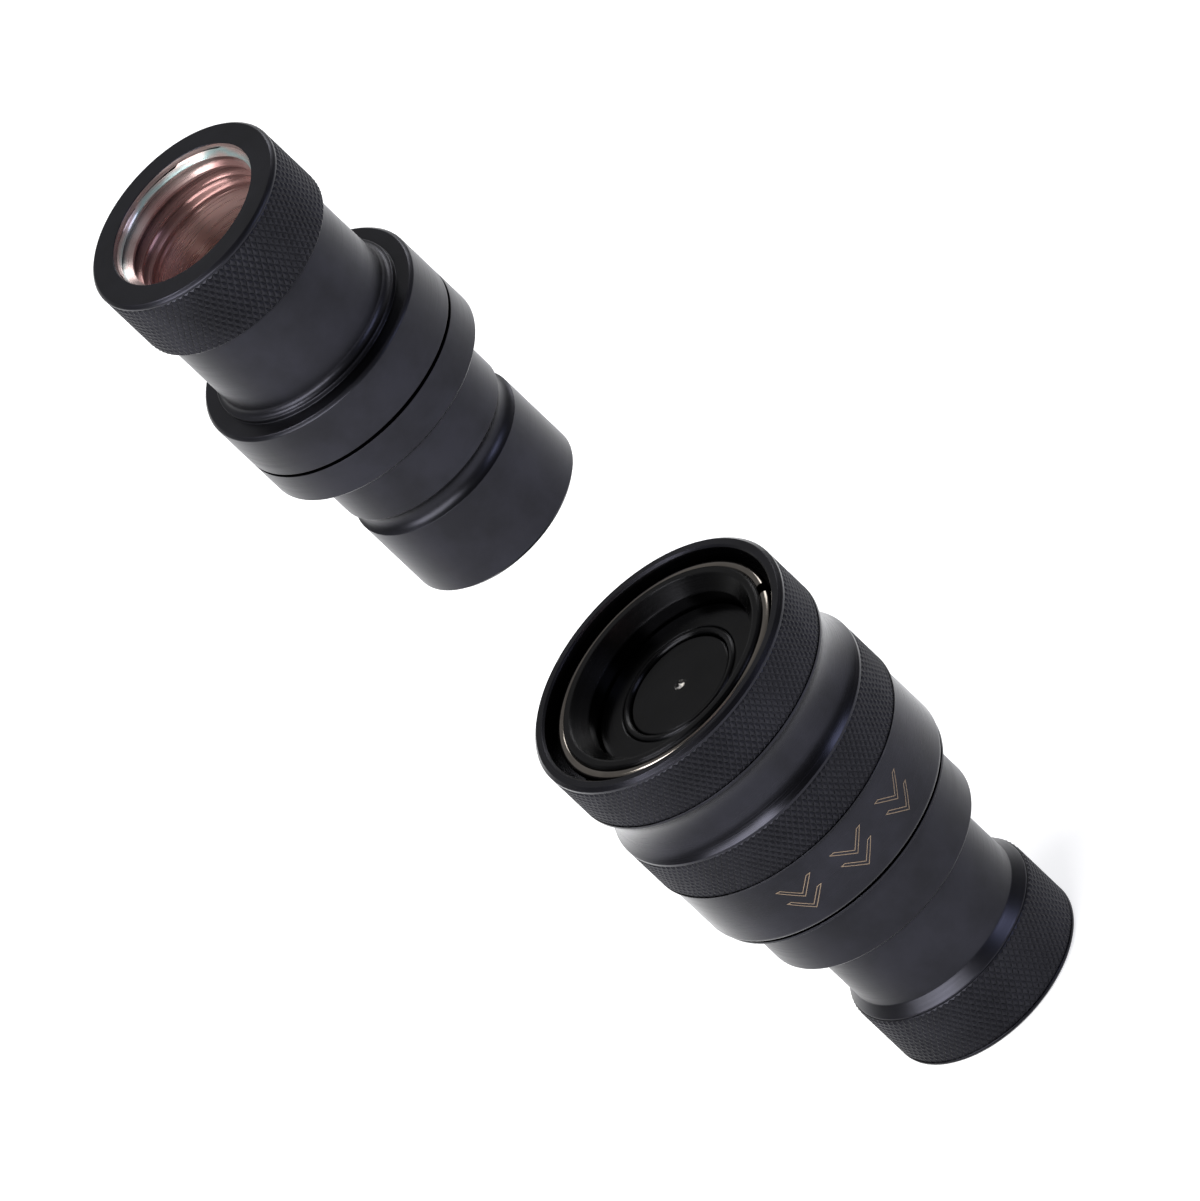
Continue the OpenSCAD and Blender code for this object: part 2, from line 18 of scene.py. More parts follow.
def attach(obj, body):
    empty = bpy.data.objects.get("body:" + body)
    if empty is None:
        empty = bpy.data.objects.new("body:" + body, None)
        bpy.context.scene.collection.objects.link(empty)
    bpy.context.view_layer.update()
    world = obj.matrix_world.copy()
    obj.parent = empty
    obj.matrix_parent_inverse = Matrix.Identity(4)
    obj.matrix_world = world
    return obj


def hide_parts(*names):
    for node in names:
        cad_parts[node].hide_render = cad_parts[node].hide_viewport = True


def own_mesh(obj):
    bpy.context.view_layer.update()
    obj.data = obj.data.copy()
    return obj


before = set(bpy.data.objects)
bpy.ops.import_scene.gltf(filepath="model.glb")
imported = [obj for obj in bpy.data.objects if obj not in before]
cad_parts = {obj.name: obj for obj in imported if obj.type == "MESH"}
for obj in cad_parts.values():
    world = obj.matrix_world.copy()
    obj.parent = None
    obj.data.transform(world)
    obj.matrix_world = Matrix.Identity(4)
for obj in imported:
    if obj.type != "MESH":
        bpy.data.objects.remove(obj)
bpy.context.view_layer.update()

MM = 0.001
# Corners closer together than this are one corner.
WELD_MM = 0.002
# The half-inch pipe thread: radius of its crests, and of the cone that opens the port.
THREAD_MINOR_R = 9.316
PORT_MOUTH_R = 10.5
# Most of a noise pattern lies between these two values.
NOISE_LOW, NOISE_HIGH = 0.3, 0.7
# Tints down the port: share of its depth and colour.
PORT_TINTS = ((0.0, "#8A7C7A"), (0.05, "#AC9894"), (0.085, "#98AEAE"), (0.12, "#B5A29E"),
              (0.18, "#8E6C69"), (0.42, "#94706C"), (0.5, "#DDB9B3"), (1.0, "#D6B1AA"))
LOG = logging.getLogger("coupling")


class Body(Enum):
    """The bodies that the modelled pieces ride on."""

    SOCKET = "socket"
    SLEEVE = "release_sleeve"
    PLUG = "plug"


class Slot(Enum):
    """The record's finishes that the modelled pieces stand for."""

    COAT = "black_coated_steel"
    SPRING = "spring_steel"
    ROSE = "rose_steel"


# ---- Small helpers ----


def linear(colour: str) -> tuple[float, float, float, float]:
    """Turns an sRGB hex colour into a linear one.

    Args:
        colour: six hex digits, with or without a leading hash.

    Returns:
        Linear red, green, blue and full alpha.
    """
    digits = colour.lstrip("#")
    parts = [int(digits[i:i + 2], 16) / 255 for i in (0, 2, 4)]
    low, slope, lift, power = 0.04045, 12.92, 0.055, 2.4
    made = [c / slope if c <= low else ((c + lift) / (1 + lift)) ** power for c in parts]
    return (*made, 1.0)


def add(tree: bpy.types.NodeTree, kind: str, inputs: dict | None = None,
        **settings: object) -> bpy.types.Node:
    """Adds one node with its settings, values and links.

    Args:
        tree: the node tree it goes into.
        kind: the node's type name.
        inputs: values for its sockets, by name or number; a socket is linked.
        settings: properties of the node itself.

    Returns:
        The new node.
    """
    node = tree.nodes.new(kind)
    for key, value in settings.items():
        setattr(node, key, value)
    for key, value in (inputs or {}).items():
        if isinstance(value, bpy.types.NodeSocket):
            tree.links.new(value, node.inputs[key])
        else:
            node.inputs[key].default_value = value
    return node


def deselect() -> None:
    """Leaves no object selected."""
    bpy.ops.object.select_all(action="DESELECT")


def activate(piece: bpy.types.Object) -> None:
    """Makes a piece the only selected and active object."""
    deselect()
    piece.select_set(True)
    bpy.context.view_layer.objects.active = piece


def settle(piece: bpy.types.Object) -> None:
    """Puts a piece's place, turn and size into its mesh."""
    activate(piece)
    bpy.ops.object.transform_apply(location=True, rotation=True, scale=True)


def pick(piece: bpy.types.Object, layer: str, test: Callable[[object], bool]) -> None:
    """Selects the elements of a mesh in edit mode that pass a test.

    Args:
        piece: the piece in edit mode.
        layer: verts, edges or faces.
        test: says whether one bmesh element is wanted.
    """
    mode = {"verts": "VERT", "edges": "EDGE", "faces": "FACE"}[layer]
    bpy.ops.mesh.select_mode(type=mode)
    bpy.ops.mesh.select_all(action="DESELECT")
    mesh = bmesh.from_edit_mesh(piece.data)
    for element in getattr(mesh, layer):
        element.select = bool(test(element))
    mesh.select_flush_mode()
    bmesh.update_edit_mesh(piece.data)


def apply_modifier(piece: bpy.types.Object, kind: str, **settings: object) -> None:
    """Adds a modifier with its settings and applies it at once."""
    activate(piece)
    modifier = piece.modifiers.new(kind.title(), kind)
    for key, value in settings.items():
        setattr(modifier, key, value)
    bpy.ops.object.modifier_apply(modifier=modifier.name)


def wear(piece: bpy.types.Object, *materials: bpy.types.Material) -> None:
    """Gives a piece these materials in place of what it had."""
    piece.data.materials.clear()
    for material in materials:
        piece.data.materials.append(material)


def place(piece: bpy.types.Object, body: Body) -> None:
    """Fastens a new piece to the body it moves with."""
    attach(piece, body.value)


def merged_copy(node: str, name: str) -> bpy.types.Object:
    """Copies a CAD node and joins its loose triangles into one skin.

    Args:
        node: the node's name.
        name: the new piece's name.

    Returns:
        The copy, riding on nothing yet.
    """
    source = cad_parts[node]
    piece = bpy.data.objects.new(name, source.data.copy())
    bpy.context.scene.collection.objects.link(piece)
    activate(piece)
    bpy.ops.object.mode_set(mode="EDIT")
    bpy.ops.mesh.select_all(action="SELECT")
    bpy.ops.mesh.remove_doubles(threshold=WELD_MM * MM)
    bpy.ops.object.mode_set(mode="OBJECT")
    return piece


# ---- Finishes ----


def turned_vector(tree: bpy.types.NodeTree, pitch_mm: float,
                  sweep: float) -> bpy.types.NodeSocket:
    """Coordinates in which lathe marks run round the axis, on walls and faces alike.

    Args:
        tree: the material's tree.
        pitch_mm: the size that one unit of the pattern has along the profile.
        sweep: how much the pattern changes along a mark, against across it.

    Returns:
        A vector of radius and height in pattern units, with a slow sideways drift.
    """
    where = add(tree, "ShaderNodeTexCoord").outputs["Object"]
    parts = add(tree, "ShaderNodeSeparateXYZ", {0: where})
    flat = add(tree, "ShaderNodeCombineXYZ", {0: parts.outputs[0], 1: parts.outputs[1]})
    radius = add(tree, "ShaderNodeVectorMath", {0: flat.outputs[0]}, operation="LENGTH")
    drift = add(tree, "ShaderNodeMath", {0: parts.outputs[0], 1: sweep},
                operation="MULTIPLY")
    joined = add(tree, "ShaderNodeCombineXYZ", {
        0: radius.outputs["Value"], 1: parts.outputs[2], 2: drift.outputs[0]})
    return add(tree, "ShaderNodeVectorMath", {
        0: joined.outputs[0], "Scale": 1 / (pitch_mm * MM)}, operation="SCALE").outputs[0]


def fresh(name: str) -> tuple[bpy.types.Material, bpy.types.NodeTree, bpy.types.Node]:
    """Makes a material with an empty tree.

    Args:
        name: the material's name.

    Returns:
        The material, its tree and its output node.
    """
    material = bpy.data.materials.new(name)
    material.use_nodes = True
    material.node_tree.nodes.clear()
    return material, material.node_tree, add(material.node_tree, "ShaderNodeOutputMaterial")


def painted_crevice_shade(tree: bpy.types.NodeTree, colour: bpy.types.NodeSocket,
             reach_mm: float) -> bpy.types.NodeSocket:
    """Paints shade into a colour in corners and seams: the less open air a point sees, the
    darker it is.

    Args:
        tree: the material's tree.
        colour: the colour in the open.
        reach_mm: how far away a wall still counts.

    Returns:
        The darkened colour.
    """
    open_sky = add(tree, "ShaderNodeAmbientOcclusion", {"Distance": reach_mm * MM},
                   samples=4).outputs["AO"]
    closed, clear, darkest = 0.3, 0.9, 0.3
    shade = add(tree, "ShaderNodeMapRange", {
        "Value": open_sky, "From Min": closed, "From Max": clear, "To Min": darkest})
    return add(tree, "ShaderNodeVectorMath", {0: colour, "Scale": shade.outputs[0]},
               operation="SCALE").outputs[0]


@dataclass(frozen=True)
class TurnedMetal:
    """Metal turned on a lathe: fine rings round the axis under a blasted or bare skin."""

    name: str
    dark: str
    light: str
    roughness: tuple[float, float]
    feed_mm: float = 0.12
    feed_depth_mm: float = 0.002
    grain_mm: float = 0.09
    grain_depth_mm: float = 0.001
    cloud_mm: float = 9.0
    edge_mm: float = 0.12
    # Reach of the painted shade in corners and seams; none when zero.
    painted_shade_mm: float = 0.0
    centre_mm: float = 0.0
    # Pale colour of the centre spot, a painted glint.
    centre_glint_colour: str = "#C4C0BA"
    centre_grain_mm: float = 0.3
    centre_dullness: float = 0.75

    def build(self) -> bpy.types.Material:
        """Makes the material."""
        material, tree, output = fresh(self.name)
        where = add(tree, "ShaderNodeTexCoord").outputs["Object"]
        rings = add(tree, "ShaderNodeTexNoise", {
            "Vector": turned_vector(tree, self.feed_mm, 0.01), "Scale": 1.0,
            "Detail": 2.0}).outputs["Fac"]
        cloud = add(tree, "ShaderNodeTexNoise", {
            "Vector": where, "Scale": 1 / (self.cloud_mm * MM), "Detail": 4.0,
            "Roughness": 0.6}).outputs["Fac"]
        grain = add(tree, "ShaderNodeTexNoise", {
            "Vector": where, "Scale": 1 / (self.grain_mm * MM), "Detail": 1.0}).outputs["Fac"]
        tone = add(tree, "ShaderNodeMapRange", {
            "Value": cloud, "From Min": 0.35, "From Max": 0.65})
        colour = add(tree, "ShaderNodeMix", {
            "Factor": tone.outputs[0], 6: linear(self.dark), 7: linear(self.light)},
            data_type="RGBA").outputs[2]
        bare = 0.0
        # Painted glint: the bare centre spot gets a pale colour and little metal, so it shows
        # bright under any lamp.
        if self.centre_mm:
            bare = self._centre_glint(tree, where)
            colour = add(tree, "ShaderNodeMix", {
                "Factor": bare, 6: colour, 7: linear(self.centre_glint_colour)},
                data_type="RGBA").outputs[2]
        # Painted shade: the colour is darker in corners and seams.
        if self.painted_shade_mm:
            colour = painted_crevice_shade(tree, colour, self.painted_shade_mm)
        metal = add(tree, "ShaderNodeMath", {
            0: bare, 1: -self.centre_dullness, 2: 1.0}, operation="MULTIPLY_ADD").outputs[0]
        rough = add(tree, "ShaderNodeMapRange", {
            "Value": rings, "From Min": NOISE_LOW, "From Max": NOISE_HIGH,
            "To Min": self.roughness[0], "To Max": self.roughness[1]}).outputs[0]
        rounded = add(tree, "ShaderNodeBevel", {"Radius": self.edge_mm * MM}, samples=4)
        marks = add(tree, "ShaderNodeBump", {
            "Height": rings, "Distance": self.feed_depth_mm * MM,
            "Normal": rounded.outputs[0]})
        skin = add(tree, "ShaderNodeBump", {
            "Height": grain, "Distance": self.grain_depth_mm * MM,
            "Normal": marks.outputs[0]})
        shader = add(tree, "ShaderNodeBsdfPrincipled", {
            "Base Color": colour, "Metallic": metal, "Roughness": rough,
            "Normal": skin.outputs[0]})
        tree.links.new(shader.outputs[0], output.inputs["Surface"])
        return material

    def _centre_glint(self, tree: bpy.types.NodeTree,
                where: bpy.types.NodeSocket) -> bpy.types.NodeSocket:
        """Masks the ragged spot of bare metal that the lathe's centre leaves, which also
        carries a painted glint.
        """
        flat = add(tree, "ShaderNodeVectorMath", {0: where, 1: (1, 1, 0)},
                   operation="MULTIPLY").outputs[0]
        radius = add(tree, "ShaderNodeVectorMath", {0: flat}, operation="LENGTH")
        ragged = add(tree, "ShaderNodeTexNoise", {
            "Vector": flat, "Scale": 1 / (self.centre_grain_mm * MM),
            "Detail": 3.0}).outputs["Fac"]
        wander, rim, core = (share * self.centre_mm * MM for share in (-2.2, -0.2, -0.7))
        reach = add(tree, "ShaderNodeMath", {
            0: ragged, 1: wander, 2: radius.outputs["Value"]},
            operation="MULTIPLY_ADD").outputs[0]
        return add(tree, "ShaderNodeMapRange", {
            "Value": reach, "From Min": rim, "From Max": core}).outputs[0]


# Black physical-vapour coating on turned and finely blasted stainless steel: nearly
# black straight on, with long soft lights that pale towards the edges.
# Its colour carries painted shade in corners and seams.
COATED_STEEL = TurnedMetal("black_coated_turned_steel", "#27272B", "#2E2E34", (0.21, 0.29),
                           painted_shade_mm=3.0)
# The coat of the end pieces and the plug, which were blasted coarser: softer lights.
# Its colour also carries painted shade in corners and seams.
MATT_STEEL = TurnedMetal("black_coated_blasted_steel", "#27272B", "#2E2E34", (0.31, 0.40),
                         painted_shade_mm=3.0)
# The same coating over a rolled grip: the crushed crests scatter, so it looks drier.
COATED_GRIP = TurnedMetal("black_coated_rolled_steel", "#242428", "#2B2B30", (0.38, 0.48),
                          feed_depth_mm=0.0, edge_mm=0.03)
# Black-coated valve pieces that were left as turned: darker and glossier.
VALVE_STEEL = TurnedMetal("black_coated_valve_steel", "#161617", "#1D1D1F", (0.17, 0.26),
                          feed_mm=0.08, edge_mm=0.4)
# The stem: the same coat, with a bare spot where the lathe's centre held its face. The spot
# is also a painted glint: it is pale and dull, so it shows bright under any lamp.
STEM_STEEL = TurnedMetal("black_coated_stem_steel", "#161617", "#1D1D1F", (0.17, 0.26),
                         feed_mm=0.08, edge_mm=0.25, centre_mm=0.75)
# Stainless steel tinted rose by the thinnest edge of the coating, as turned.
ROSE_STEEL = TurnedMetal("rose_tinted_turned_steel", "#BFA39E", "#D3BAB4", (0.22, 0.34),
                         feed_mm=0.15)
# Oil-tempered spring wire: grey and dark, with one bright line where it meets a lamp.
SNAP_WIRE = TurnedMetal("oil_tempered_spring_wire", "#66615C", "#78726C", (0.12, 0.20),
                        feed_mm=0.15, edge_mm=0.0)
# Drawn stainless wire, bright with faint lines along its turn.
DRAWN_WIRE = TurnedMetal("drawn_stainless_wire", "#B9B8B6", "#D6D5D2", (0.18, 0.28),
                         feed_mm=0.15, edge_mm=0.0)
# Ground and polished stainless: clear lights and a dark sky.
POLISHED_STEEL = TurnedMetal("polished_stainless_steel", "#C9C9C8", "#DCDCDA", (0.10, 0.18),
                             edge_mm=0.05)
# Hardened chrome steel balls, lapped to a mirror.
BALL_STEEL = TurnedMetal("lapped_chrome_steel", "#CBCCCE", "#DADBDC", (0.05, 0.08),
                         feed_depth_mm=0.0, edge_mm=0.0)


@dataclass(frozen=True)
class Rubber:
    """Moulded rubber: dull, with a faint bloom."""

    name: str
    colour: str
    bloom: str
    roughness: float = 0.55
    bloom_mm: float = 2.5
    skin_depth_mm: float = 0.004

    def build(self) -> bpy.types.Material:
        """Makes the material."""
        material, tree, output = fresh(self.name)
        where = add(tree, "ShaderNodeTexCoord").outputs["Object"]
        bloom = add(tree, "ShaderNodeTexNoise", {
            "Vector": where, "Scale": 1 / (self.bloom_mm * MM),
            "Detail": 4.0}).outputs["Fac"]
        colour = add(tree, "ShaderNodeMix", {
            "Factor": bloom, 6: linear(self.colour), 7: linear(self.bloom)},
            data_type="RGBA").outputs[2]
        skin = add(tree, "ShaderNodeBump", {
            "Height": bloom, "Distance": self.skin_depth_mm * MM})
        shader = add(tree, "ShaderNodeBsdfPrincipled", {
            "Base Color": colour, "Roughness": self.roughness, "IOR": 1.52,
            "Normal": skin.outputs[0]})
        tree.links.new(shader.outputs[0], output.inputs["Surface"])
        return material


# Peroxide-cured rubber for the O-rings: matt black with a soft grey bloom.
SEAL_RUBBER = Rubber("moulded_epdm_rubber", "#0E0E0F", "#1A1A1B")
# Skived white fluoropolymer of the backup ring: waxy and even.
BACKUP_PTFE = Rubber("skived_ptfe", "#DEDDD6", "#EBEAE4", 0.4)


@dataclass(frozen=True)
class TintedPort:
    """Stainless steel of a port's bore, tinted by the thin edge of the coating.

    The tint runs from silvery teal at the mouth to rose and copper further in, where
    less of the coating reached it.
    """

    name: str
    mouth_mm: float
    outward: int
    depth_mm: float = 16.0
    cloud_mm: float = 6.0
    waver_mm: float = 2.4
    feed_mm: float = 0.16
    feed_depth_mm: float = 0.003
    # Reach of the painted shade in the thread's valleys and corners.
    painted_shade_mm: float = 0.9
    roughness: tuple[float, float] = (0.22, 0.4)

    def build(self) -> bpy.types.Material:
        """Makes the material."""
        material, tree, output = fresh(self.name)
        where = add(tree, "ShaderNodeTexCoord").outputs["Object"]
        height = add(tree, "ShaderNodeSeparateXYZ", {0: where}).outputs[2]
        cloud = add(tree, "ShaderNodeTexNoise", {
            "Vector": where, "Scale": 1 / (self.cloud_mm * MM),
            "Detail": 3.0}).outputs["Fac"]
        waver = add(tree, "ShaderNodeMath", {
            0: cloud, 1: self.waver_mm * MM, 2: height},
            operation="MULTIPLY_ADD").outputs[0]
        mouth = self.mouth_mm * MM
        inner = (self.mouth_mm - self.outward * self.depth_mm) * MM
        shift = self.waver_mm / 2 * MM
        depth = add(tree, "ShaderNodeMapRange", {
            "Value": waver, "From Min": mouth + shift, "From Max": inner + shift})
        ramp = add(tree, "ShaderNodeValToRGB", {0: depth.outputs[0]})
        first, *between, last = PORT_TINTS
        elements = ramp.color_ramp.elements
        for element, (position, colour) in zip(elements, (first, last)):
            element.position, element.color = position, linear(colour)
        for position, colour in between:
            elements.new(position).color = linear(colour)
        rings = add(tree, "ShaderNodeTexNoise", {
            "Vector": turned_vector(tree, self.feed_mm, 0.02), "Scale": 1.0,
            "Detail": 3.0}).outputs["Fac"]
        rough = add(tree, "ShaderNodeMapRange", {
            "Value": rings, "From Min": NOISE_LOW, "From Max": NOISE_HIGH,
            "To Min": self.roughness[0], "To Max": self.roughness[1]}).outputs[0]
        marks = add(tree, "ShaderNodeBump", {
            "Height": rings, "Distance": self.feed_depth_mm * MM})
        along = add(tree, "ShaderNodeTangent", direction_type="RADIAL", axis="Z")
        # Painted shade: the tint is darker in the thread's valleys and corners.
        shaded_tint = painted_crevice_shade(tree, ramp.outputs[0], self.painted_shade_mm)
        shader = add(tree, "ShaderNodeBsdfPrincipled", {
            "Base Color": shaded_tint, "Metallic": 0.75, "Roughness": rough,
            "Anisotropic": 0.8, "Anisotropic Rotation": 0.25, "Tangent": along.outputs[0],
            "Normal": marks.outputs[0]})
        tree.links.new(shader.outputs[0], output.inputs["Surface"])
        return material


@dataclass(frozen=True)
class LaserMark:
    """Laser-engraved line in the coating: the oxide turns a dull tan."""

    name: str = "laser_engraved_line"
    dark: str = "#6B5B4A"
    light: str = "#96826D"
    pulse_mm: float = 0.12
    pulse_depth_mm: float = 0.01

    def build(self) -> bpy.types.Material:
        """Makes the material."""
        material, tree, output = fresh(self.name)
        where = add(tree, "ShaderNodeTexCoord").outputs["Object"]
        pulses = add(tree, "ShaderNodeTexNoise", {
            "Vector": where, "Scale": 1 / (self.pulse_mm * MM),
            "Detail": 2.0}).outputs["Fac"]
        colour = add(tree, "ShaderNodeMix", {
            "Factor": pulses, 6: linear(self.dark), 7: linear(self.light)},
            data_type="RGBA").outputs[2]
        marks = add(tree, "ShaderNodeBump", {
            "Height": pulses, "Distance": self.pulse_depth_mm * MM})
        shader = add(tree, "ShaderNodeBsdfPrincipled", {
            "Base Color": colour, "Metallic": 0.3, "Roughness": 0.6,
            "Normal": marks.outputs[0]})
        tree.links.new(shader.outputs[0], output.inputs["Surface"])
        return material


@dataclass
class Finishes:
    """Every material of the coupling, each made once."""

    coat: bpy.types.Material = field(default_factory=COATED_STEEL.build)
    matt: bpy.types.Material = field(default_factory=MATT_STEEL.build)
    grip: bpy.types.Material = field(default_factory=COATED_GRIP.build)
    stem: bpy.types.Material = field(default_factory=STEM_STEEL.build)
    valve: bpy.types.Material = field(default_factory=VALVE_STEEL.build)
    rose: bpy.types.Material = field(default_factory=ROSE_STEEL.build)
    snap: bpy.types.Material = field(default_factory=SNAP_WIRE.build)
    wire: bpy.types.Material = field(default_factory=DRAWN_WIRE.build)
    polished: bpy.types.Material = field(default_factory=POLISHED_STEEL.build)
    ball: bpy.types.Material = field(default_factory=BALL_STEEL.build)
    rubber: bpy.types.Material = field(default_factory=SEAL_RUBBER.build)
    ptfe: bpy.types.Material = field(default_factory=BACKUP_PTFE.build)
    mark: bpy.types.Material = field(default_factory=LaserMark().build)


# ---- Modelled detail ----


@dataclass
class RolledGrip:
    """A band of diamond crests rolled into a recess, as a closed ring.

    The band starts as an open cylinder at the root. Its grid is poked into diamonds,
    and every diamond is inset and raised to a crest at once.
    """

    name: str
    body: Body
    land_r: float
    bottom: float
    top: float
    columns: int
    rows: int
    depth: float = 0.17
    flank: float = 0.27
    thickness: float = 0.15

    def build(self, finishes: Finishes) -> bpy.types.Object:
        """Models the band and fastens it to its body.

        Args:
            finishes: the materials.

        Returns:
            The finished piece.
        """
        root = self.land_r - self.depth
        deselect()
        bpy.ops.mesh.primitive_cylinder_add(
            vertices=self.columns, radius=root * MM, depth=(self.top - self.bottom) * MM,
            end_fill_type="NOTHING", location=(0, 0, (self.top + self.bottom) / 2 * MM))
        band = bpy.context.object
        band.name = self.name
        settle(band)
        bpy.ops.object.mode_set(mode="EDIT")
        pick(band, "edges", lambda e: abs(e.verts[0].co.z - e.verts[1].co.z) > MM)
        bpy.ops.mesh.subdivide(number_cuts=self.rows - 1)
        bpy.ops.mesh.select_mode(type="FACE")
        bpy.ops.mesh.select_all(action="SELECT")
        bpy.ops.mesh.poke()
        pick(band, "edges", self._grid_edge)
        bpy.ops.mesh.dissolve_edges(use_verts=False)
        bpy.ops.mesh.select_mode(type="FACE")
        bpy.ops.mesh.select_all(action="SELECT")
        bpy.ops.mesh.inset(use_individual=True, thickness=self.flank * MM,
                           depth=self.depth * MM)
        pick(band, "edges", lambda e: e.is_boundary)
        inner = (root - self.thickness) / root
        bpy.ops.mesh.extrude_edges_move()
        bpy.ops.transform.resize(value=(inner, inner, 1), center_override=(0, 0, 0))
        bpy.ops.mesh.bridge_edge_loops()
        bpy.ops.mesh.select_all(action="SELECT")
        bpy.ops.mesh.normals_make_consistent(inside=False)
        bpy.ops.object.mode_set(mode="OBJECT")
        wear(band, finishes.grip)
        place(band, self.body)
        return band

    @staticmethod
    def _grid_edge(edge: bmesh.types.BMEdge) -> bool:
        """Says whether an edge belongs to the square grid and not to a diamond."""
        if edge.is_boundary:
            return False
        a, b = (v.co for v in edge.verts)
        tiny = WELD_MM / 2 * MM
        level = abs(a.z - b.z) < tiny
        upright = (a.xy - b.xy).length < tiny
        return level or upright


def turned_shell(name: str, profile: list[tuple[float, float]], segments: int = 128,
                 rounding_mm: float = 0.09, corner: float = 30.0) -> bpy.types.Object:
    """Spins a closed profile round the axis and rounds its corners a little.

    Args:
        name: the piece's name.
        profile: radius and height of each corner, in millimetres.
        segments: steps round the axis.
        rounding_mm: width of the rounding.
        corner: degrees from which a bend counts as a corner.

    Returns:
        The piece, riding on nothing yet.
    """
    deselect()
    bpy.ops.mesh.primitive_circle_add(vertices=len(profile), radius=MM, fill_type="NOTHING")
    piece = bpy.context.object
    piece.name = name
    for vertex, (radius, height) in zip(piece.data.vertices, profile):
        vertex.co = (radius * MM, 0, height * MM)
    bpy.ops.object.mode_set(mode="EDIT")
    bpy.ops.mesh.select_all(action="SELECT")
    bpy.ops.mesh.spin(steps=segments, angle=math.tau, center=(0, 0, 0), axis=(0, 0, 1))
    bpy.ops.mesh.select_all(action="SELECT")
    bpy.ops.mesh.remove_doubles(threshold=WELD_MM * MM)
    bpy.ops.mesh.normals_make_consistent(inside=False)
    bpy.ops.object.mode_set(mode="OBJECT")
    apply_modifier(piece, "BEVEL", width=rounding_mm * MM, segments=2,
                   limit_method="ANGLE", angle_limit=math.radians(corner))
    return piece


def even_shading(piece: bpy.types.Object, angle: float = 50.0) -> None:
    """Smooths a piece so that its wide faces stay true and only its roundings bend."""
    activate(piece)
    bpy.ops.object.shade_smooth_by_angle(angle=math.radians(angle))
    apply_modifier(piece, "WEIGHTED_NORMAL", weight=80, keep_sharp=True)


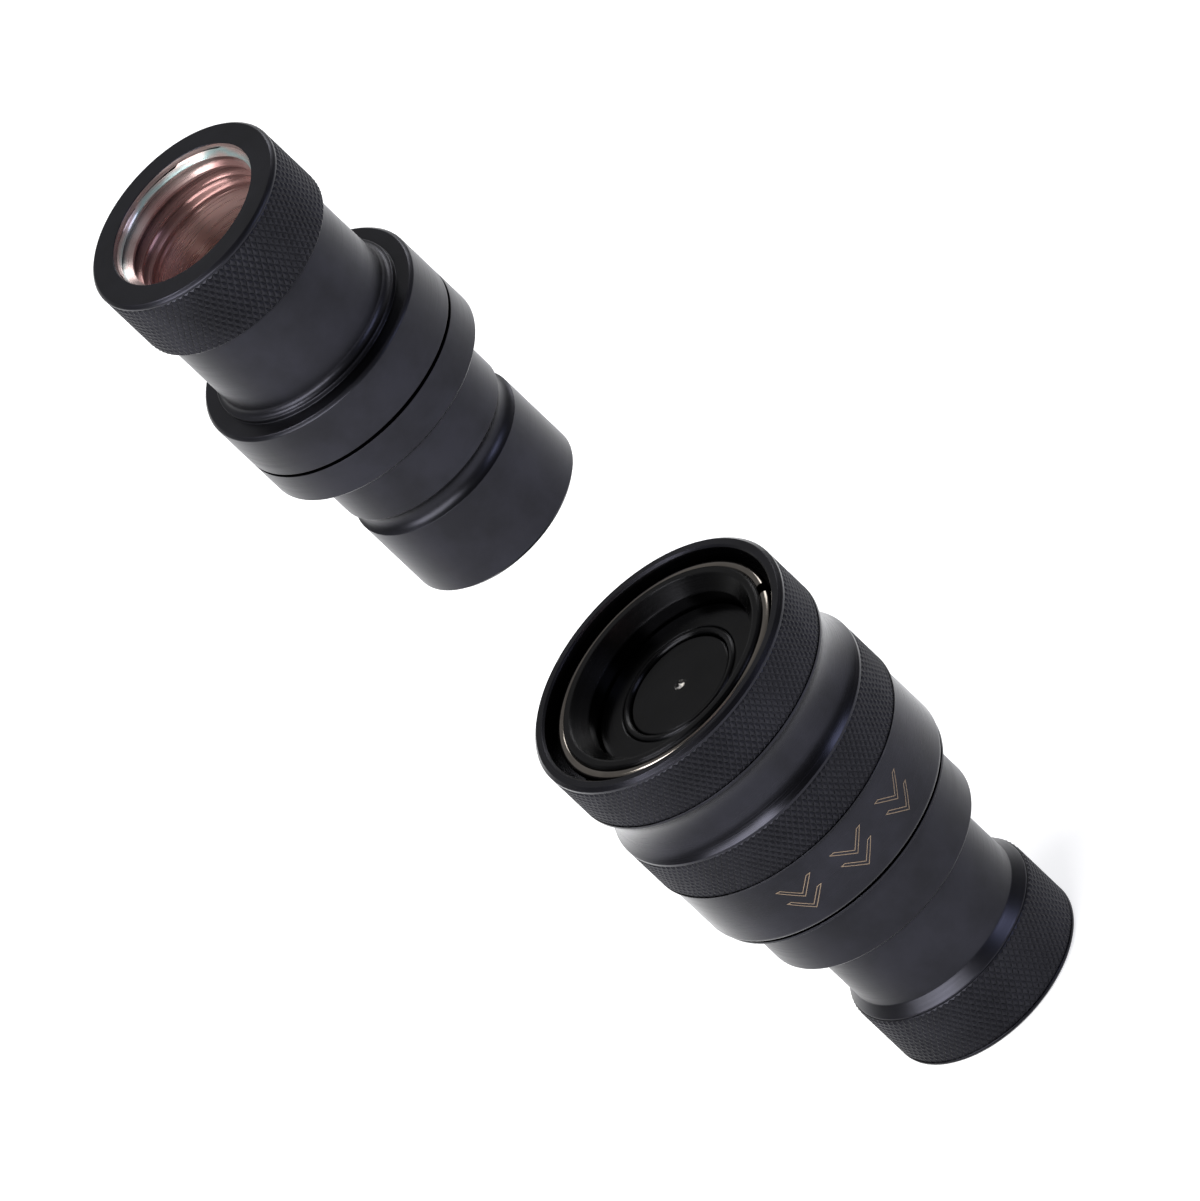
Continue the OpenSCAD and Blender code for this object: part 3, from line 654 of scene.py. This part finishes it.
@dataclass
class ThreadedEnd:
    """An end piece turned from bar, whose port has a real half-inch pipe thread.

    The wall of the thread is one profile of a single pitch, wound up as a screw. It is
    opened by the mouth's cone and runs out into the plain bore.
    """

    name: str
    node: str
    body: Body
    mouth: float
    outward: int
    outside: list[tuple[float, float]]
    bore_end: list[tuple[float, float]]
    minor_r: float = THREAD_MINOR_R
    major_r: float = 10.478
    mouth_r: float = PORT_MOUTH_R
    mouth_len: float = 0.8
    pitch: float = 1.814
    flat: float = 0.302
    thread_end: float = 7.0
    runout: float = 2.2
    pocket_r: float = 10.75
    pocket_lip: float = 0.2
    crease: float = 40.0
    slack: float = 0.005
    steps: int = 96

    def _height(self, depth: float) -> float:
        """Gives the height of a point that lies a depth inside the mouth."""
        return self.mouth - self.outward * depth

    def _thread(self) -> bpy.types.Object:
        """Winds the thread's wall and trims it between the mouth and the plain bore."""
        rise = (self.pitch - 2 * self.flat) / 2
        corners = [(self.minor_r, 0.0), (self.minor_r, self.flat),
                   (self.major_r, self.flat + rise), (self.major_r, 2 * self.flat + rise),
                   (self.minor_r, self.pitch)]
        turns = math.ceil((self.thread_end - self.mouth_len) / self.pitch) + 2
        low = min(self._height(self.thread_end), self._height(self.mouth_len))
        deselect()
        bpy.ops.mesh.primitive_circle_add(vertices=len(corners), radius=MM,
                                          fill_type="NOTHING")
        wall = bpy.context.object
        for vertex, (radius, height) in zip(wall.data.vertices, corners):
            vertex.co = (radius * MM, 0, (low - self.pitch + height) * MM)
        bpy.ops.object.mode_set(mode="EDIT")
        # The edge that closes the profile is the only one a whole pitch long.
        pick(wall, "edges", lambda e: e.calc_length() > (self.pitch - 0.01) * MM)
        bpy.ops.mesh.delete(type="EDGE")
        bpy.ops.mesh.select_all(action="SELECT")
        bpy.ops.mesh.subdivide(number_cuts=2)
        bpy.ops.object.mode_set(mode="OBJECT")
        apply_modifier(wall, "SCREW", axis="Z", angle=math.tau, screw_offset=self.pitch * MM,
                       iterations=turns, steps=self.steps, render_steps=self.steps,
                       use_merge_vertices=True, merge_threshold=WELD_MM * MM)
        for vertex in wall.data.vertices:
            depth = (self.mouth - vertex.co.z / MM) * self.outward
            radius = vertex.co.xy.length / MM
            fade = min(1.0, max(0.0, (self.thread_end - depth) / self.runout))
            wanted = self.minor_r + (radius - self.minor_r) * fade
            wanted = max(wanted, self.mouth_r - (depth - self.mouth_len))
            wanted = min(wanted, self.mouth_r)
            vertex.co.x *= wanted / radius
            vertex.co.y *= wanted / radius
        bpy.ops.object.mode_set(mode="EDIT")
        for depth, side in ((self.mouth_len, 1), (self.thread_end, -1)):
            bpy.ops.mesh.select_all(action="SELECT")
            bpy.ops.mesh.bisect(plane_co=(0, 0, self._height(depth) * MM),
                                plane_no=(0, 0, side * self.outward), clear_outer=True)
        bpy.ops.mesh.select_all(action="SELECT")
        bpy.ops.mesh.normals_make_consistent(inside=True)
        bpy.ops.object.mode_set(mode="OBJECT")
        return wall

    def build(self, finishes: Finishes) -> bpy.types.Object:
        """Turns the piece, winds its thread and dresses both.

        Args:
            finishes: the materials.

        Returns:
            The finished piece, which stands for its CAD node.
        """
        bore = [*self.bore_end, (self.minor_r, self.thread_end),
                (self.pocket_r, self.thread_end),
                (self.pocket_r, self.mouth_len + self.pocket_lip),
                (self.mouth_r, self.mouth_len)]
        profile = [(radius, self._height(depth)) for radius, depth in [*self.outside, *bore]]
        piece = turned_shell(self.name, profile)
        even_shading(piece)
        wall = self._thread()
        activate(wall)
        bpy.ops.object.shade_smooth_by_angle(angle=math.radians(self.crease))
        deselect()
        wall.select_set(True)
        piece.select_set(True)
        bpy.context.view_layer.objects.active = piece
        bpy.ops.object.join()
        port = TintedPort(self.name + "_tinted_bore", self.mouth, self.outward)
        wear(piece, finishes.matt, port.build())
        for face in piece.data.polygons:
            inside = all(
                piece.data.vertices[v].co.xy.length < (self.mouth_r + self.slack) * MM
                for v in face.vertices)
            face.material_index = 1 if inside else 0
        place(piece, self.body)
        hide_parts(self.node)
        return piece


@dataclass
class CoiledSpring:
    """A compression spring with a round, smooth wire."""

    name: str
    node: str
    body: Body
    joint: str
    anchor: float
    keep: float

    def build(self, finishes: Finishes) -> bpy.types.Object:
        """Models the spring from its CAD solid, rounding the wire.

        Args:
            finishes: the materials.

        Returns:
            The finished piece, which stands for its CAD node.
        """
        piece = merged_copy(self.node, self.name)
        apply_modifier(piece, "SUBSURF", levels=1, render_levels=1)
        activate(piece)
        bpy.ops.object.shade_smooth()
        wear(piece, finishes.wire)
        place(piece, self.body)
        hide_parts(self.node)
        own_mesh(piece)
        return piece


@dataclass
class DirectionMark:
    """A pair of outlined chevrons engraved round a cylinder, pointing to the rear."""

    name: str
    body: Body
    radius: float
    height: float
    azimuth: float
    width: float = 5.4
    rise: float = 2.6
    bar: float = 0.72
    line: float = 0.1
    gap: float = 2.25
    proud: float = 0.012
    thickness: float = 0.05
    cuts: int = 5

    def _chevron(self, level: float) -> bpy.types.Object:
        """Models one flat outlined chevron round a height, with its point down."""
        deselect()
        bpy.ops.mesh.primitive_circle_add(vertices=6, radius=MM, fill_type="NGON")
        mark = bpy.context.object
        half = self.width / 2
        top, tip = self.rise / 2, -self.rise / 2
        corners = [(0, tip), (half, top), (half - self.bar, top), (0, tip + self.bar),
                   (self.bar - half, top), (-half, top)]
        loop = list(mark.data.polygons[0].vertices)
        for index, (across, up) in zip(loop, corners):
            mark.data.vertices[index].co = (across * MM, (up + level) * MM, 0)
        bpy.ops.object.mode_set(mode="EDIT")
        bpy.ops.mesh.select_all(action="SELECT")
        bpy.ops.mesh.inset(thickness=self.line * MM, depth=0)
        bpy.ops.mesh.delete(type="FACE")
        bpy.ops.mesh.select_all(action="SELECT")
        bpy.ops.mesh.subdivide(number_cuts=self.cuts)
        bpy.ops.object.mode_set(mode="OBJECT")
        return mark

    def build(self, finishes: Finishes) -> bpy.types.Object:
        """Models the mark and wraps it round its cylinder.

        Args:
            finishes: the materials.

        Returns:
            The finished piece.
        """
        marks = [self._chevron(-self.gap / 2), self._chevron(self.gap / 2)]
        deselect()
        for mark in marks:
            mark.select_set(True)
        bpy.context.view_layer.objects.active = marks[0]
        bpy.ops.object.join()
        piece = marks[0]
        piece.name = self.name
        middle = math.radians(self.azimuth)
        outer = (self.radius + self.proud) * MM
        for vertex in piece.data.vertices:
            turn = middle + vertex.co.x / outer
            vertex.co = (outer * math.cos(turn), outer * math.sin(turn),
                         self.height * MM + vertex.co.y)
        bpy.ops.object.mode_set(mode="EDIT")
        bpy.ops.mesh.select_all(action="SELECT")
        bpy.ops.mesh.normals_make_consistent(inside=False)
        bpy.ops.object.mode_set(mode="OBJECT")
        apply_modifier(piece, "SOLIDIFY", thickness=self.thickness * MM, offset=-1.0)
        wear(piece, finishes.mark)
        place(piece, self.body)
        return piece


# ---- Sub-assemblies ----


def dress(finish: bpy.types.Material, *nodes: str) -> None:
    """Gives CAD nodes that stay as they are their material."""
    for node in nodes:
        wear(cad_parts[node], finish)


@dataclass
class SocketHalf:
    """The fixed half: body, threaded collar, stem, seals, balls and snap ring."""

    end_r: float = 13.896
    neck_r: float = 12.566
    collar_r: float = 15.9
    edge: float = 0.4
    grip_bottom: float = 0.75
    grip_top: float = 9.45
    cone_start: float = 9.657
    cone_end: float = 11.2
    neck_end: float = 23.1
    fillet: float = 0.65
    collar_end: float = 38.4316
    thread_r: float = 14.62
    ledge: float = 24.8
    flow_r: float = 9.0
    port_depth: float = 14.984
    columns: int = 94
    rows: int = 6
    knurl_depth: float = 0.25
    sleeve_spring_seat: float = 39.4316
    sleeve_spring_keep: float = 0.846
    valve_spring_seat: float = 27.40
    valve_spring_keep: float = 0.383

    @property
    def outside(self) -> list[tuple[float, float]]:
        """Radius and depth of the end piece's outside, from its mouth up."""
        root = self.end_r - self.knurl_depth
        return [(PORT_MOUTH_R, 0), (self.end_r - self.edge, 0), (self.end_r, self.edge),
                (self.end_r, self.grip_bottom), (root, self.grip_bottom),
                (root, self.cone_start), (self.neck_r, self.cone_end),
                (self.neck_r, self.neck_end - self.fillet),
                (self.neck_r + self.fillet, self.neck_end),
                (self.collar_r - self.edge, self.neck_end),
                (self.collar_r, self.neck_end + self.edge),
                (self.collar_r, self.collar_end - self.edge),
                (self.collar_r - self.edge, self.collar_end)]

    @property
    def bore_end(self) -> list[tuple[float, float]]:
        """Radius and depth of its inside, from the collar back to the plain bore."""
        return [(self.thread_r, self.collar_end), (self.thread_r, self.ledge),
                (self.flow_r, self.ledge), (self.flow_r, self.port_depth),
                (THREAD_MINOR_R, self.port_depth)]

    def build(self, finishes: Finishes) -> list[bpy.types.Object]:
        """Builds and dresses the half.

        Args:
            finishes: the materials.

        Returns:
            The new pieces.
        """
        dress(finishes.valve, "socket_body", "stem_spider", "valve_sleeve", "seat_ring",
              "spring_washer")
        dress(finishes.stem, "stem")
        dress(finishes.polished, "stem_nut")
        dress(finishes.snap, "snap_ring")
        dress(finishes.ball, "locking_balls")
        dress(finishes.rubber, "body_seal", "nose_seal", "stem_seal")
        dress(finishes.ptfe, "backup_ring")
        return [
            ThreadedEnd("socket_threaded_end", "socket_adapter", Body.SOCKET, mouth=0.0,
                        outward=-1, outside=self.outside,
                        bore_end=self.bore_end).build(finishes),
            RolledGrip("socket_end_grip", Body.SOCKET, self.end_r, self.grip_bottom,
                       self.grip_top, self.columns, self.rows).build(finishes),
            CoiledSpring("sleeve_coil", "sleeve_spring", Body.SOCKET, "sleeve_push",
                         self.sleeve_spring_seat, self.sleeve_spring_keep).build(finishes),
            CoiledSpring("valve_coil", "valve_spring", Body.SOCKET, "valve_push",
                         self.valve_spring_seat, self.valve_spring_keep).build(finishes),
        ]


@dataclass
class ReleaseSleeve:
    """The sleeve that the hand pushes back: two rolled grips and marks on its band."""

    grip_r: float = 19.0
    band_r: float = 18.55
    columns: int = 129
    rows: int = 5
    front: tuple[float, float] = (57.68, 64.63)
    rear: tuple[float, float] = (42.88, 49.48)
    mark_height: float = 37.6
    mark_turns: tuple[float, ...] = (-64.0, -90.0, -116.0)

    def build(self, finishes: Finishes) -> list[bpy.types.Object]:
        """Builds and dresses the sleeve.

        Args:
            finishes: the materials.

        Returns:
            The new pieces.
        """
        dress(finishes.coat, "release_sleeve", "sleeve_end_ring")
        made = [RolledGrip(name, Body.SLEEVE, self.grip_r, low, high, self.columns,
                           self.rows).build(finishes)
                for name, (low, high) in (("sleeve_front_grip", self.front),
                                          ("sleeve_rear_grip", self.rear))]
        for number, turn in enumerate(self.mark_turns, 1):
            made.append(DirectionMark(f"direction_mark_{number}", Body.SLEEVE, self.band_r,
                                      self.mark_height, turn).build(finishes))
        return made


@dataclass
class PlugHalf:
    """The half that is pushed in: nose piece, threaded end, poppet and its guide."""

    top: float = 157.83
    end_r: float = 13.896
    neck_r: float = 12.566
    flange_r: float = 15.9
    edge: float = 0.4
    grip_from: float = 0.75
    grip_to: float = 9.95
    grip_len: float = 10.1
    neck_end: float = 24.2
    fillet: float = 0.95
    lip: float = 0.6
    flange_join: float = 31.4
    screw_r: float = 13.42
    screw_start: float = 25.6
    well_r: float = 10.5
    spring_seat: float = 18.984
    ledge_r: float = 8.4
    port_depth: float = 14.984
    columns: int = 94
    rows: int = 6
    knurl_depth: float = 0.25
    fillet_steps: int = 6
    poppet_spring_seat: float = 138.846
    poppet_spring_keep: float = 0.357

    @property
    def outside(self) -> list[tuple[float, float]]:
        """Radius and depth of the end piece's outside, from its mouth down."""
        root = self.end_r - self.knurl_depth
        foot, middle = self.neck_end - self.lip, self.neck_r + self.fillet
        turns = [math.radians(90 / self.fillet_steps * step)
                 for step in range(self.fillet_steps + 1)]
        fillet = [(middle - self.fillet * math.cos(turn),
                   foot - self.fillet * (1 - math.sin(turn))) for turn in turns]
        return [(PORT_MOUTH_R, 0), (self.end_r - self.edge, 0), (self.end_r, self.edge),
                (self.end_r, self.grip_from), (root, self.grip_from), (root, self.grip_len),
                (self.neck_r, self.grip_len),
                *fillet, (middle, self.neck_end), (self.flange_r - self.edge, self.neck_end),
                (self.flange_r, self.neck_end + self.edge), (self.flange_r, self.flange_join)]

    @property
    def bore_end(self) -> list[tuple[float, float]]:
        """Radius and depth of its inside, from the flange back to the plain bore."""
        return [(self.screw_r, self.flange_join), (self.screw_r, self.screw_start),
                (self.well_r, self.screw_start), (self.well_r, self.spring_seat),
                (self.ledge_r, self.spring_seat), (self.ledge_r, self.port_depth),
                (THREAD_MINOR_R, self.port_depth)]

    def build(self, finishes: Finishes) -> list[bpy.types.Object]:
        """Builds and dresses the half.

        Args:
            finishes: the materials.

        Returns:
            The new pieces.
        """
        dress(finishes.matt, "plug_body")
        dress(finishes.rose, "poppet", "poppet_guide")
        dress(finishes.wire, "guide_clip")
        dress(finishes.rubber, "plug_seal", "poppet_seal")
        return [
            ThreadedEnd("plug_threaded_end", "plug_adapter", Body.PLUG, mouth=self.top,
                        outward=1, outside=self.outside,
                        bore_end=self.bore_end).build(finishes),
            RolledGrip("plug_end_grip", Body.PLUG, self.end_r, self.top - self.grip_to,
                       self.top - self.grip_from, self.columns, self.rows).build(finishes),
            CoiledSpring("poppet_coil", "poppet_spring", Body.PLUG, "poppet_lift",
                         self.poppet_spring_seat, self.poppet_spring_keep).build(finishes),
        ]


# ---- Studio ----


@dataclass(frozen=True)
class Softbox:
    """A rectangular soft lamp: place and size in metres, power in watts."""

    name: str
    where: tuple[float, float, float]
    size: tuple[float, float]
    watts: float
    colour: str = "#FFFFFF"

    def build(self, target: Vector) -> None:
        """Adds the lamp.

        Args:
            target: the point it shines at.
        """
        data = bpy.data.lights.new(self.name, "AREA")
        data.shape, data.energy = "RECTANGLE", self.watts
        data.size, data.size_y = self.size
        data.color = linear(self.colour)[:3]
        lamp = bpy.data.objects.new(self.name, data)
        bpy.context.scene.collection.objects.link(lamp)
        lamp.location = self.where
        aim = target - Vector(self.where)
        lamp.rotation_euler = aim.to_track_quat("-Z", "Y").to_euler()


SOFTBOXES = (
    Softbox("left_softbox", (-0.6, -0.5, 0.53), (0.95, 0.42), 13.0),
    Softbox("right_softbox", (0.64, -0.47, 0.5), (0.36, 0.36), 2.4, "#D8DFFF"),
    Softbox("top_softbox", (-0.45, 0.2, 1.0), (0.3, 0.3), 5.0),
    Softbox("back_softbox", (0.5, 0.63, 0.48), (0.3, 0.3), 2.0),
)


@dataclass
class Studio:
    """Camera, lamps, world and floor."""

    elevation: float = 32.2
    roll: float = -46.6
    distance: float = 4.0
    view_mm: float = 145.048309
    sensor: float = 36.0
    middle_mm: float = 78.9
    offset_mm: tuple[float, float] = (1.45, -0.33)
    front_level: float = 0.14
    back_level: float = 0.42
    front_edge: float = -0.6
    back_edge: float = 0.8
    floor_size: float = 6.0
    floor_drop_mm: float = 0.05
    floor_glow: float = 0.66

    def camera(self) -> None:
        """Makes the camera at the viewing angle, rolled so that the axis slants."""
        e, roll = math.radians(self.elevation), math.radians(self.roll)
        back = Vector((0, -math.cos(e), math.sin(e)))
        right, up = Vector((1, 0, 0)), Vector((0, math.sin(e), math.cos(e)))
        across = right * math.cos(roll) + up * math.sin(roll)
        upward = up * math.cos(roll) - right * math.sin(roll)
        aim = (Vector((0, 0, self.middle_mm)) + across * self.offset_mm[0]
               + upward * self.offset_mm[1]) * MM
        data = bpy.data.cameras.new("studio_camera")
        data.sensor_width = self.sensor
        data.lens = self.distance * self.sensor / (self.view_mm * MM)
        data.clip_end = 20.0
        camera = bpy.data.objects.new("studio_camera", data)
        bpy.context.scene.collection.objects.link(camera)
        turn = Matrix((across, upward, back)).transposed().to_4x4()
        camera.matrix_world = Matrix.Translation(aim + back * self.distance) @ turn
        bpy.context.scene.camera = camera

    def world(self) -> None:
        """Makes a dim room that is paler behind the coupling than before it."""
        world = bpy.data.worlds.new("studio_world")
        world.use_nodes = True
        tree = world.node_tree
        tree.nodes.clear()
        way = add(tree, "ShaderNodeTexCoord").outputs["Generated"]
        depth = add(tree, "ShaderNodeSeparateXYZ", {0: way}).outputs[1]
        level = add(tree, "ShaderNodeMapRange", {
            "Value": depth, "From Min": self.front_edge, "From Max": self.back_edge,
            "To Min": self.front_level, "To Max": self.back_level}).outputs[0]
        sky = add(tree, "ShaderNodeBackground", {
            "Color": linear("#FFFFFF"), "Strength": level})
        output = add(tree, "ShaderNodeOutputWorld")
        tree.links.new(sky.outputs[0], output.inputs["Surface"])
        bpy.context.scene.world = world

    def floor(self) -> None:
        """Adds a large pale floor that shows as white but keeps the shadow."""
        deselect()
        bpy.ops.mesh.primitive_plane_add(size=self.floor_size,
                                         location=(0, 0, -self.floor_drop_mm * MM))
        floor = bpy.context.object
        floor.name = "studio_floor"
        material, tree, output = fresh("matt_white_paper")
        rays = add(tree, "ShaderNodeLightPath")
        seen = add(tree, "ShaderNodeMath", {
            0: rays.outputs["Is Camera Ray"], 1: rays.outputs["Is Glossy Ray"]},
            operation="MAXIMUM")
        seen = add(tree, "ShaderNodeMath", {
            0: seen.outputs[0], 1: rays.outputs["Is Transmission Ray"]},
            operation="MAXIMUM")
        glow = add(tree, "ShaderNodeMath", {0: seen.outputs[0], 1: self.floor_glow},
                   operation="MULTIPLY")
        paper = add(tree, "ShaderNodeBsdfDiffuse", {"Color": linear("#C6C6C6")})
        light = add(tree, "ShaderNodeEmission", {"Strength": glow.outputs[0]})
        both = add(tree, "ShaderNodeAddShader", {0: paper.outputs[0], 1: light.outputs[0]})
        tree.links.new(both.outputs[0], output.inputs["Surface"])
        wear(floor, material)

    def build(self) -> None:
        """Sets up the whole studio."""
        bpy.context.scene.view_settings.view_transform = "Standard"
        self.camera()
        self.world()
        self.floor()
        for softbox in SOFTBOXES:
            softbox.build(Vector((0, 0, self.middle_mm * MM)))


def main() -> None:
    logging.basicConfig(level=logging.INFO)
    Studio().build()
    finishes = Finishes()
    for part in (SocketHalf(), ReleaseSleeve(), PlugHalf()):
        for piece in part.build(finishes):
            LOG.info("%s: %s has %d faces", type(part).__name__, piece.name,
                     len(piece.data.polygons))


if __name__ == "__main__":
    main()
